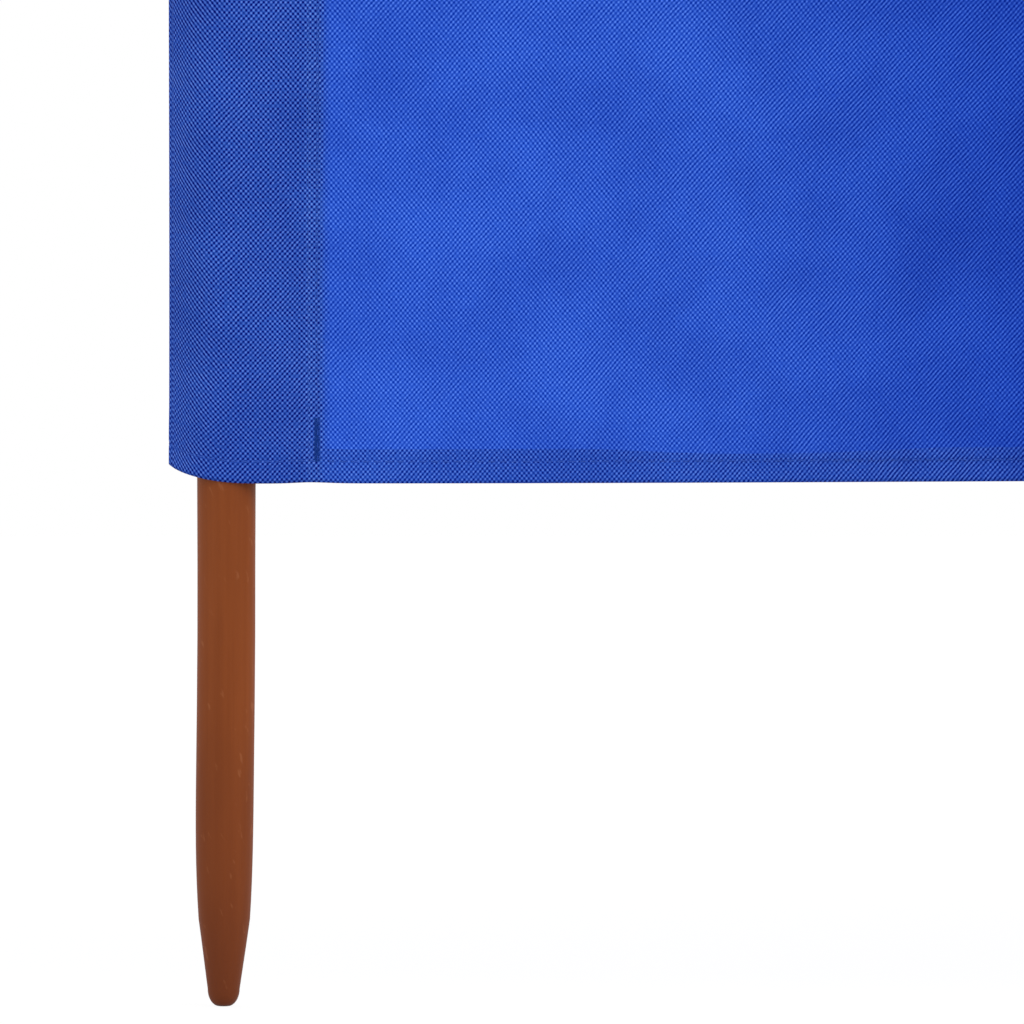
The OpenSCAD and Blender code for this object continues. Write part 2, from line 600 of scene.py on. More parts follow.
def new_mesh(bm: bmesh.types.BMesh, name: str, material: bpy.types.Material) -> bpy.types.Mesh:
    """Turn a bmesh into a mesh with its material. The bmesh is freed."""
    mesh = bpy.data.meshes.new(name)
    bm.to_mesh(mesh)
    bm.free()
    mesh.materials.append(material)
    return mesh


def finish_piece(
    bm: bmesh.types.BMesh, name: str, material: bpy.types.Material
) -> bpy.types.Object:
    """Turn a bmesh into a smooth piece that rides on the frame.

    Args:
        bm: The mesh, in the row frame. It is freed.
        name: The piece's name.
        material: Its material.

    Returns:
        The piece's object.
    """
    for face in bm.faces:
        face.smooth = True
    piece = show(name, new_mesh(bm, name, material))
    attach(piece, BODY)
    LOG.info("%s: %d faces", name, len(piece.data.polygons))
    return piece


# ----------------------------------------------------------------------------------------------- stakes


@dataclass
class Stake:
    """A round wooden stake with a blunt point cut on it by hand.

    Attributes:
        number: Which stake it is, from the left.
        layout: Where the windbreak's parts are.
        flat: Radius of the flat on the tip.
        tip: Radius and height where the rounded end meets the cone.
        point: Radius and height where the cone ends.
        ground: Radius of the stretch that goes into the ground.
        ground_from: Height where that stretch starts.
        ground_to: Height where it ends.
        swell: Height over which the stake then reaches its full radius.
        top_round: Radius of the rounded top edge.
        sides: How many faces go round it.
        stray: How far the cut point lies off the middle.
        fuller: How much fuller the wood is than its drawn size.
        uneven: How far the wood is out of round.
    """

    number: int
    layout: Layout
    flat: float = 2.2 * MM
    tip: tuple[float, float] = (7.75 * MM, 8.5 * MM)
    point: tuple[float, float] = (12.4 * MM, 42 * MM)
    ground: float = 14.0 * MM
    ground_from: float = 112 * MM
    ground_to: float = 212 * MM
    swell: float = 12 * MM
    top_round: float = 4 * MM
    sides: int = 56
    stray: float = 1.3 * MM
    fuller: float = 0.2 * MM
    uneven: float = 0.1 * MM

    def outline(self) -> list[tuple[float, float]]:
        """Half outline as radius and height, from the tip up."""
        blunt, corner = self.tip
        radius, height = self.point
        full, top = self.layout.stake_radius + self.fuller, self.layout.stake_top
        line = [(0.0, 0.0), (self.flat * 0.5, 0.0)]
        for i in range(9):
            turn = math.radians(11.25 * i)
            line.append((self.flat + (blunt - self.flat) * math.sin(turn), corner * (1 - math.cos(turn))))
        for share in steps(0.0, 1.0, 0.15):
            line.append((blunt + (radius - blunt) * share, corner + (height - corner) * share))
        for share in steps(0.0, 1.0, 0.125):
            eased = self.ground - (self.ground - radius) * (1 - share) ** 3
            line.append((eased, height + (self.ground_from - height) * share))
        line += [(self.ground, z) for z in steps(self.ground_from, self.ground_to, 30 * MM)]
        line += [(full, z) for z in steps(self.ground_to + self.swell, top - self.top_round, 40 * MM)]
        for i in range(1, 6):
            turn = math.radians(18 * i)
            inwards, down = self.top_round * (1 - math.cos(turn)), self.top_round * (1 - math.sin(turn))
            line.append((full - inwards, top - down))
        return [*line, (full * 0.4, top), (0.0, top)]

    def worked(self, place: Vector) -> Vector:
        """Move a point of the true turned shape as the hand-made one has it."""
        centre = self.layout.stakes[self.number - 1]
        spoke = Vector((place.x - centre, place.y, 0.0))
        if spoke.length > 0:
            seed = 10.0 * self.number
            around = spoke.normalized() * 0.9
            bump = noise.noise(Vector((around.x + seed, around.y, place.z * 5)))
            spoke += spoke.normalized() * bump * self.uneven * min(1.0, spoke.length / self.tip[0])
        aside = math.radians(180 + 73 * (self.number - 1))
        drift = 0.77 * smoothstep(0.19, 0.06, place.z) + 0.25 * smoothstep(0.04, 0.0, place.z) - 0.15
        shift = Vector((math.cos(aside), math.sin(aside), 0.0)) * drift * self.stray
        return Vector((centre, 0.0, place.z)) + spoke + shift

    def build(self, wardrobe: Wardrobe) -> bpy.types.Object:
        """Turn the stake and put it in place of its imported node."""
        centre = Vector((self.layout.stakes[self.number - 1], 0.0, 0.0))
        bm = bmesh.new()
        line = [bm.verts.new(centre + Vector((radius, 0.0, height))) for radius, height in self.outline()]
        edges = [bm.edges.new(pair) for pair in zip(line, line[1:])]
        bmesh.ops.spin(
            bm,
            geom=[*line, *edges],
            cent=centre,
            axis=(0.0, 0.0, 1.0),
            angle=math.tau,
            steps=self.sides,
            use_merge=True,
        )
        bmesh.ops.remove_doubles(bm, verts=bm.verts, dist=0.001 * MM)
        bmesh.ops.recalc_face_normals(bm, faces=bm.faces)
        for vert in bm.verts:
            vert.co = self.worked(vert.co)
        piece = finish_piece(bm, f"turned_stake_{self.number}", wardrobe.wood)
        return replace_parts(piece, f"stake_{self.number}")


# ------------------------------------------------------------------------------------------------ cloth


class Section:
    """A smooth line seen from above, read by the distance along it."""

    STEPS = 12

    def __init__(self, points: Sequence[tuple[float, float]]) -> None:
        """Run a smooth line through points given as x and y from the stake's centre."""
        known = [Vector(p) for p in points]
        known = [known[0] * 2 - known[1], *known, known[-1] * 2 - known[-2]]
        self.points: list[Vector] = [known[1]]
        for before, start, end, after in zip(known, known[1:], known[2:], known[3:]):
            for i in range(1, self.STEPS + 1):
                t = i / self.STEPS
                bend = (2 * start - 2 * end + (end - before) / 2 + (after - start) / 2) * t**3
                ease = (3 * end - 3 * start - (end - before) - (after - start) / 2) * t**2
                self.points.append(bend + ease + (end - before) / 2 * t + start)
        self.reach = [0.0]
        for first, second in zip(self.points, self.points[1:]):
            self.reach.append(self.reach[-1] + (second - first).length)

    @property
    def length(self) -> float:
        """Length of the line."""
        return self.reach[-1]

    def at(self, distance: float) -> Vector:
        """Point of the line at a distance along it."""
        i = min(max(bisect_right(self.reach, distance) - 1, 0), len(self.points) - 2)
        share = (distance - self.reach[i]) / (self.reach[i + 1] - self.reach[i])
        return self.points[i].lerp(self.points[i + 1], min(1.0, max(0.0, share)))

    def outward(self, distance: float) -> Vector:
        """Unit vector square to the line, to the left of its direction."""
        near = 0.6 * MM
        ahead, back = self.at(min(self.length, distance + near)), self.at(max(0.0, distance - near))
        along = (ahead - back).normalized()
        return Vector((-along.y, along.x))


@dataclass(frozen=True)
class Row:
    """A line of points along a sheet.

    Attributes:
        height: Height above the lower fold.
        behind: How far it lies behind the front layer.
        double: Whether the cloth lies double there.
    """

    height: float
    behind: float
    double: bool


@dataclass
class Sheet(ABC):
    """A hemmed piece of the cloth, read by a distance s along it and a height h above its lower fold.

    Attributes:
        name: The piece's name.
        layout: Where the windbreak's parts are.
        starts: Distance along the whole cloth at which s is 0. It falls as s grows.
        gap: Distance between the middles of the two layers of a hem.
        stitch_height: Height of the row of stitches in a hem.
        step: Distance between rows of points away from the hems.
        stretch: How far the pressed lattice strays up and down.
        stretch_run: Height over which it strays up and down once.
    """

    UV = "cloth"
    LAYERS = "layers"
    DEEP = "deep"
    CREASE = "crease"
    STRAIN = "strain"
    LEAN = "lean"

    name: str
    layout: Layout
    starts: float = 0.0
    gap: float = 0.74 * MM
    stitch_height: float = 10.2 * MM
    step: float = 14 * MM
    stretch: float = 2.7 * MM
    stretch_run: float = 520 * MM

    slot = Slot.SINGLE
    always_double = False

    @property
    @abstractmethod
    def span(self) -> float:
        """The largest s."""

    @abstractmethod
    def columns(self) -> list[float]:
        """Every s at which the sheet has points."""

    @abstractmethod
    def point(self, s: float, h: float, out: float = 0.0) -> Vector:
        """Find a point on the sheet.

        Args:
            s: Distance along the sheet.
            h: Height above the lower fold.
            out: Distance out from the middle of the front layer.

        Returns:
            The point in the row frame.
        """

    def clear(self, s: float) -> float:
        """Distance from the nearer of the sheet's two sewn edges."""
        return min(s, self.span - s)

    def from_fold(self, h: float) -> float:
        """Distance from the nearer of the lower and the upper fold."""
        return min(h, self.layout.height - h)

    def painted_shade_share(self, s: float, row: Row) -> float:
        """How much painted shade darkens the blue there, from 0 to 1."""
        return 0.0

    def lean(self, s: float) -> float:
        """How much more a rising diagonal of its dots shows than a falling one."""
        return 0.13

    def skewed(self, s: float, h: float) -> tuple[float, float]:
        """How far the pressed lattice lies off a true one there, along the cloth and up it."""
        return -0.003 * h, self.stretch * math.sin(math.tau * h / self.stretch_run)

    def strain(self, s: float) -> float:
        """How much painted highlight lightens the cloth along upright rows of stitches there, from 0 to 1."""
        return 0.0

    def doubled_and_shaded(self, s: float, row: Row) -> float:
        """How far the cloth lies double there, from 0 to 1."""
        return float(row.double)

    def hem_edge(self, s: float, h: float) -> float:
        """How far the turned-in edge of a hem strays from its place, at heights beside that edge."""
        from_fold = self.from_fold(h)
        reach = smoothstep(self.stitch_height, self.layout.hem, from_fold)
        reach *= 1 - smoothstep(self.layout.hem, 1.8 * self.layout.hem, from_fold)
        below = h < self.layout.height / 2
        place = Vector(((self.starts - s) * 5, 8.88 if below else 2.4, 2.5))
        narrower = 6 * MM * max(0.0, noise.noise(place) - 0.05) * reach
        return -narrower if below else narrower

    def crease(self, s: float, row: Row) -> float:
        """How much painted shade darkens the cloth along a fold there, from 0 to 1."""
        from_fold = self.from_fold(row.height)
        return 1 - smoothstep(0.3 * MM, 1.6 * MM, from_fold)

    def hem_share(self, h: float) -> float:
        """1 in a hem, easing to 0 above its edge."""
        from_fold = self.from_fold(h)
        return 1 - smoothstep(self.layout.hem, self.layout.hem * 1.9, from_fold)

    def stitch_dip(self, h: float) -> float:
        """How far a hem's stitches pull the front layer in."""
        from_fold = self.from_fold(h)
        return 0.2 * MM * bell(from_fold - self.stitch_height, 1.1 * MM)

    def rows(self) -> list[Row]:
        """Rows from the edge turned in at the top, over the folds, and to the edge turned in below."""
        hem, turn, total = self.layout.hem, self.gap / 2, self.layout.height
        line = self.stitch_height
        near = [turn, 1.6 * MM, 4.5 * MM, 7 * MM, 8.6 * MM, line - 0.7 * MM, line, line + 0.7 * MM]
        near += [12 * MM, 14 * MM, hem]
        lower = [Row(h, 0.0, True) for h in near]
        beyond = [hem + 0.4 * MM, *steps(hem + 0.4 * MM, 2 * hem, 4 * MM), 44 * MM]
        lower += [Row(h, 0.0, self.always_double) for h in beyond]
        middle = steps(lower[-1].height, total - lower[-1].height, self.step)[:-1]
        bend = [math.radians(a) for a in range(30, 180, 30)]
        fold = [Row(turn * (1 - math.sin(a)), turn * (1 - math.cos(a)), True) for a in bend]
        inside = [Row(h, self.gap, True) for h in near if h != near[4] and h != near[2]]
        bottom = [*reversed(lower), *fold, *inside]
        top = [Row(total - r.height, r.behind, r.double) for r in reversed(bottom)]
        return [*top, *(Row(h, 0.0, self.always_double) for h in reversed(middle)), *bottom]

    def along(self) -> list[float]:
        """Distance on the flat cloth at each column, measured half way up."""
        half = self.layout.height / 2
        places = [self.point(s, half) for s in self.columns()]
        flat = [self.starts]
        for first, second in zip(places, places[1:]):
            flat.append(flat[-1] - (second - first).length)
        return flat

    def flat_size(self) -> tuple[float, float]:
        """Width and height of the piece as it is cut, with what its hems turn in."""
        flat = self.along()
        return flat[0] - flat[-1], self.layout.height + 2 * self.layout.hem

    def build(self, wardrobe: Wardrobe, nodes: Sequence[str], held: str, rests_on: Sequence[str]):
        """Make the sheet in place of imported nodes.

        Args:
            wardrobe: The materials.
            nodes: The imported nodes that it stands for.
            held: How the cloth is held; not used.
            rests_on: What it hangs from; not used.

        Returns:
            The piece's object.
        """
        columns, rows, flat = self.columns(), self.rows(), self.along()
        climbs = [0.0]
        for first, second in zip(rows, rows[1:]):
            climbs.append(climbs[-1] - math.hypot(second.height - first.height, second.behind - first.behind))
        bm = bmesh.new()
        bmesh.ops.create_grid(bm, x_segments=len(columns) - 1, y_segments=len(rows) - 1, size=0.5)
        places: dict[int, tuple[int, int, float]] = {}
        for vert in bm.verts:
            i = round((vert.co.x + 0.5) * (len(columns) - 1))
            j = round((vert.co.y + 0.5) * (len(rows) - 1))
            stray = self.hem_edge(columns[i], rows[j].height)
            places[vert.index] = (i, j, stray if rows[j].behind < self.gap / 2 else -stray)
            vert.co = self.point(columns[i], rows[j].height + stray, -rows[j].behind)
        uv = bm.loops.layers.uv.new(self.UV)
        names = (self.LAYERS, self.DEEP, self.CREASE, self.STRAIN, self.LEAN)
        layers, deep, crease, strain, lean = (bm.loops.layers.float.new(name) for name in names)
        for face in bm.faces:
            for loop in face.loops:
                i, j, stray = places[loop.vert.index]
                aside, above = self.skewed(columns[i], rows[j].height + stray)
                loop[uv].uv = (flat[i] + aside, climbs[j] + stray + above)
                loop[layers] = self.doubled_and_shaded(columns[i], rows[j])
                loop[deep] = self.painted_shade_share(columns[i], rows[j])
                loop[crease] = self.crease(columns[i], rows[j])
                loop[strain] = self.strain(columns[i])
                loop[lean] = self.lean(columns[i])
        for edge in bm.edges:
            edge.smooth = not edge.is_boundary
        piece = finish_piece(bm, self.name, wardrobe.cloth)
        wall = piece.modifiers.new("thickness", "SOLIDIFY")
        wall.thickness, wall.offset = self.layout.cloth * 0.95, 0.0
        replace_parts(piece, *nodes)
        return (piece, self.flat_size())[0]


@dataclass
class Sleeve(Sheet):
    """A piece of cloth drawn round a stake, whose line seen from above is a section.

    Attributes:
        stake_x: X of the centre of the stake.
        section: The line of the middle of its front layer.
        flange: How far from a sewn edge the layers lie flat together.
        seams: Distance of each row of stitches from a sewn edge.
        tack: Distance of the bar tacks from it.
        rise: How much the lower edge climbs towards a free fold.
        corner: How much more it climbs right at the fold.
        drop: How much the upper edge falls towards it.
        loose: How far the cloth strays from its section where it isn't sewn.
        fold_side: -1 where the free fold is to the left of the stake, 1 to the right, 0 without one.
    """

    stake_x: float = 0.0
    section: Section = field(default_factory=lambda: Section([(0, 0), (1, 0)]))
    flange: float = 8.5 * MM
    seams: tuple[float, float] = (3.0 * MM, 7.4 * MM)
    tack: float = 3.3 * MM
    rise: float = 7.9 * MM
    corner: float = 1.8 * MM
    drop: float = 5 * MM
    loose: float = 0.5 * MM
    fold_side: int = 0
    step: float = 28 * MM

    slot = Slot.DOUBLE
    always_double = True

    @property
    def span(self) -> float:
        """The largest s."""
        return self.section.length

    def columns(self) -> list[float]:
        """Close together where the layers are sewn or the cloth bends, and looser elsewhere."""
        sewn = [0.0, *steps(0.0, self.flange + 2 * MM, 0.75 * MM)]
        far = [self.span - s for s in reversed(sewn)]
        loose = []
        since = turn = 0.0
        before = sewn[-1]
        for s in steps(sewn[-1], far[0], 0.25 * MM)[:-1]:
            since += s - before
            turn += self.section.outward(before).angle(self.section.outward(s))
            before = s
            if since >= 2.6 * MM or turn >= math.radians(9):
                loose.append(s)
                since = turn = 0.0
        return [*sewn, *loose, *far]

    def skewed(self, s: float, h: float) -> tuple[float, float]:
        """How far the pressed lattice lies off a true one: it is drawn a little wide round the stake."""
        aside, above = super().skewed(s, h)
        return aside + 0.025 * s, above

    def lean(self, s: float) -> float:
        """How much more a rising diagonal shows: less than a falling one beside a free fold."""
        beside = smoothstep(-4 * MM, 16 * MM, self.fold_side * self.section.at(s).x)
        return 0.05 - 0.25 * beside * self.fold_side**2

    def strain(self, s: float) -> float:
        """How much painted highlight lightens the cloth: most at the inner row of stitches, and over the flat
        beside a sewn edge.
        """
        from_edge = self.clear(s)
        beside_edge = 1 - smoothstep(7 * MM, 9 * MM, from_edge)
        return 0.65 * bell(from_edge - self.seams[1], 1.3 * MM) + 0.45 * beside_edge

    def doubled_and_shaded(self, s: float, row: Row) -> float:
        """How far the cloth lies double there: it fades a little at a sewn edge."""
        return 0.7 + 0.3 * smoothstep(0.0, 2.5 * MM, self.clear(s))

    def crease(self, s: float, row: Row) -> float:
        """How much painted shade darkens it, along its hems and down a free fold."""
        hem = super().crease(s, row)
        if not self.fold_side:
            return hem
        reach = max(self.fold_side * p.x for p in self.section.points)
        # A thin line of painted shade down the free fold.
        return max(hem, 0.2 * bell(self.fold_side * self.section.at(s).x - reach, 0.35 * MM))

    def point(self, s: float, h: float, out: float = 0.0) -> Vector:
        """Find a point on the sleeve, as Sheet.point says."""
        place, outward = self.section.at(s), self.section.outward(s)
        from_edge = self.clear(s)
        edge = self.stake_x + self.section.at(0.0 if s < self.span / 2 else self.span).x
        sewn = 1 - smoothstep(self.flange, self.flange + 9 * MM, from_edge)
        dip = sum(0.17 * MM * bell(from_edge - seam, 0.95 * MM) for seam in self.seams)
        proud = sewn * self.hem_share(h) * 0.8 * MM + 0.15 * MM * self.hem_share(h)
        slack = self.loose * noise.noise(Vector((self.stake_x * 3, s * 22, h * 4.5))) * (1 - sewn)
        flat = place + outward * (out + proud + slack - dip - self.stitch_dip(h))
        share = h / self.layout.height
        reach = self.layout.end_fold + self.layout.stake_radius
        turned = min(1.0, max(0.0, self.layout.stake_radius + self.fold_side * place.x) / reach)
        climb = self.rise * turned**2.3 + self.corner * turned**12
        lift = self.fold_side**2 * (climb * (1 - share) - self.drop * turned**2 * share)
        lift += self.layout.gather(from_edge, share)
        z = self.layout.lower + self.layout.cloth / 2 + h + lift
        x = self.stake_x + flat.x + self.layout.waver(edge, h, from_edge)
        return Vector((x, flat.y, z))


@dataclass
class Bay(Sheet):
    """The cloth between two sleeves, bellied out by the wind.

    Attributes:
        left: X of its left-hand sewn edge.
        right: X of its right-hand sewn edge.
        seed: Where its creases are read from.
        sag: How much its upper edge sags in the middle.
        lift: How much its lower edge lifts in the middle.
        waves: Depth of the soft waves.
        tone: How strongly the painted shade darkens the blue away from the seams, on the left and on the
            right.
        skew: How strongly the pressed lattice is skewed, below 0 the other way.
        bow: How far its rows bow down in the middle.
        fan_from: Height where its columns start to fan out.
        fan_run: Height over which they fan out and close again.
    """

    left: float = 0.0
    right: float = 0.0
    seed: float = 0.0
    sag: float = 8 * MM
    lift: float = 1.5 * MM
    waves: float = 1.5 * MM
    tone: tuple[float, float] = (0.55, 0.55)
    skew: float = 1.0
    bow: float = 11 * MM
    fan_from: float = 20 * MM
    fan_run: float = 760 * MM

    @property
    def span(self) -> float:
        """The largest s."""
        return self.right - self.left

    def skewed(self, s: float, h: float) -> tuple[float, float]:
        """How far the pressed lattice lies off a true one: it fans out and bows between the seams."""
        aside, above = super().skewed(s, h)
        bulge = math.sin(math.pi * s / self.span)
        fan = 0.045 - 0.044 * (1 - math.cos(math.tau * (h - self.fan_from) / self.fan_run))
        aside += self.skew * fan * bulge * self.span / math.pi
        return aside, above - self.skew * self.bow * bulge**2

    def lean(self, s: float) -> float:
        """How much more a rising diagonal of its dots shows than a falling one, more clear of the seams."""
        return 0.055 + 0.19 * self.skew * smoothstep(0.09, 0.32, self.clear(s))

    def columns(self) -> list[float]:
        """Close together beside the seams and even between them."""
        near = [0.0, *(x * MM for x in (1.5, 3.5, 6, 9, 12.5, 17, 23, 31))]
        far = [self.span - s for s in reversed(near)]
        return [*near, *steps(near[-1], far[0], 13 * MM)[:-1], *far]

    def doubled_and_shaded(self, s: float, row: Row) -> float:
        """How far the cloth lies double there, with painted shade beside a seam that darkens the single cloth
        over a little way.
        """
        clear = self.clear(s)
        return max(0.65 * row.double, 0.5 * (1 - smoothstep(0.0, 3.2 * MM, clear)))

    def crease(self, s: float, row: Row) -> float:
        """How much painted shade darkens it, along its folds and under the stitches of its hems."""
        clear = self.clear(s)
        from_fold = self.from_fold(row.height)
        # Painted shade in the dip along the hem stitches, clear of the seams.
        line = bell(from_fold - self.stitch_height, 1.1 * MM) * smoothstep(0.1, 0.3, clear)
        return max(super().crease(s, row), 0.6 * line)

    def painted_shade_share(self, s: float, row: Row) -> float:
        """How much painted shade darkens the blue there: most about a third of a metre clear of the seams."""
        clear = self.clear(s)
        share = smoothstep(0.42 * self.span, 0.58 * self.span, s)
        tone = self.tone[0] * share + self.tone[1] * (1 - share)
        # Painted shade: darkest about a third of a metre from a seam, easing off towards the middle of the
        # bay.
        deep = tone * smoothstep(0.15, 0.36, clear) * (1 - 0.6 * smoothstep(0.4, 0.56, clear))
        return 0.65 * deep**4 if row.double else deep

    def depth(self, s: float, h: float) -> float:
        """How far the front layer lies in front of the plane of the seams."""
        share, rise = s / self.span, h / self.layout.height
        bulge = math.sin(math.pi * share)
        full = 0.87 + 0.13 * math.sin(math.pi * rise)
        clear = self.clear(s)
        free = smoothstep(0.0, 90 * MM, clear)
        x, z = self.right - s, h
        soft = noise.noise(Vector((x * 3.6, z * 2.1, self.seed)))
        fine = noise.noise(Vector((x * 9.0, z * 4.2, self.seed + 7)))
        drawn = 0.0
        for corner in (0.0, self.span):
            away = Vector((s - corner, self.layout.height - h))
            far = away.length
            if far > 0:
                angle = math.atan2(away.y, abs(away.x))
                drawn += math.cos(11 * angle) * bell(far - 0.12, 0.12) * smoothstep(0, 30 * MM, abs(away.x))
        waves = self.waves * (1.3 * soft + 0.45 * fine) * free + 1.1 * MM * drawn
        proud = self.hem_share(h) * (0.8 * MM * bell(clear, 9 * MM) + 0.15 * MM)
        return self.layout.belly * full * bulge**3 + waves + proud - self.stitch_dip(h)

    def point(self, s: float, h: float, out: float = 0.0) -> Vector:
        """Find a point on the bay, as Sheet.point says."""
        near = 0.5 * MM
        depth = self.depth(s, h)
        slope = (self.depth(s + near, h) - depth) / near if 0 < s < self.span else 0.0
        outward = Vector((-slope, -1.0)).normalized()
        bow = math.sin(math.pi * s / self.span) ** 2
        share = h / self.layout.height
        clear = self.clear(s)
        lift = bow * (self.lift * (1 - share) - self.sag * share) + self.layout.gather(-clear, share)
        z = self.layout.lower + self.layout.cloth / 2 + h + lift
        front = self.layout.seam_y - self.layout.cloth / 2
        edge = self.right if s < self.span / 2 else self.left
        x = self.right - s + outward.x * out + self.layout.waver(edge, h, clear)
        return Vector((x, front - depth + outward.y * out, z))


# --------------------------------------------------------------------------------------------- stitches


class Way(Enum):
    """Which way a row of stitches runs on a sheet."""

    ALONG = "along"
    UP = "up"


@dataclass
class StitchRow:
    """A row of machine stitches lying on a sheet.

    Attributes:
        sheet: The sheet that they are on.
        way: Which way the row runs.
        at: The height of a row that runs along, or the s of one that runs up.
        start: Where the row starts.
        end: Where it ends.
        face: The side of the cloth that they are on.
        through: Distance from the middle of the front layer to the middle of the layer they lie on.
        pitch: Distance from one stitch to the next.
        length: Length of a stitch.
        radius: Radius of the thread.
        across: Whether the stitches lie across the row, as in a bar tack.
    """

    sheet: Sheet
    way: Way
    at: float
    start: float
    end: float
    face: Face = Face.OUTER
    through: float = 0.0
    pitch: float = 6 * MM
    length: float = 4.9 * MM
    radius: float = 0.24 * MM
    across: bool = False

    SIDES = 5

    def strip(self) -> bmesh.types.BMesh:
        """Every stitch of the row on a straight line: x along the row, y across it and z off the cloth."""
        bm = bmesh.new()
        turn = Matrix.Rotation(math.radians(90), 4, "Y")
        if self.across:
            turn = Matrix.Rotation(math.radians(90), 4, "X")
        bmesh.ops.create_cone(
            bm,
            cap_ends=True,
            segments=self.SIDES,
            radius1=self.radius,
            radius2=self.radius,
            depth=self.length,
        )
        rails = [e for e in bm.edges if abs(e.verts[0].co.z - e.verts[1].co.z) > self.length / 2]
        bmesh.ops.subdivide_edges(bm, edges=rails, cuts=2, use_grid_fill=False)
        for vert in bm.verts:
            share = abs(vert.co.z) / (self.length / 2)
            vert.co.x *= 1 - 0.3 * share**4
            vert.co.y *= 1 - 0.3 * share**4
            vert.co = turn @ vert.co
            vert.co.z += self.radius * (0.75 - 1.7 * share**2)
        count = max(1, int((self.end - self.start) / self.pitch))
        begin = self.start + (self.end - self.start - (count - 1) * self.pitch) / 2
        bmesh.ops.translate(bm, verts=bm.verts, vec=(begin, 0.0, 0.0))
        if count > 1:
            bmesh.ops.spin(
                bm,
                geom=[*bm.verts, *bm.edges, *bm.faces],
                cent=(0.0, 0.0, 0.0),
                axis=(0.0, 0.0, 1.0),
                dvec=(self.pitch, 0.0, 0.0),
                angle=0.0,
                steps=count - 1,
                use_duplicate=True,
            )
        return bm

    def lay(self) -> bmesh.types.BMesh:
        """The row laid on the sheet."""
        bm = self.strip()
        skin = self.face.value * (self.sheet.layout.cloth / 2) - self.through
        for vert in bm.verts:
            along, aside, off = vert.co
            sway = 0.09 * MM * noise.noise(Vector((along * 160, self.at * 900, 3.0)))
            out = skin + self.face.value * off
            if self.way is Way.UP:
                vert.co = self.sheet.point(self.at + aside + sway, along, out)
            else:
                vert.co = self.sheet.point(along, self.at + aside + sway, out)
        return bm


def sew(name: str, rows: Sequence[StitchRow], material: bpy.types.Material) -> bpy.types.Object:
    """Join rows of stitches in one piece.

    Args:
        name: The piece's name.
        rows: The rows.
        material: The thread.

    Returns:
        The piece's object.
    """
    whole = bmesh.new()
    for row in rows:
        part = bpy.data.meshes.new("row")
        laid = row.lay()
        bmesh.ops.recalc_face_normals(laid, faces=laid.faces)
        laid.to_mesh(part)
        laid.free()
        whole.from_mesh(part)
        bpy.data.meshes.remove(part)
    return finish_piece(whole, name, material)


# -------------------------------------------------------------------------------------------- windbreak


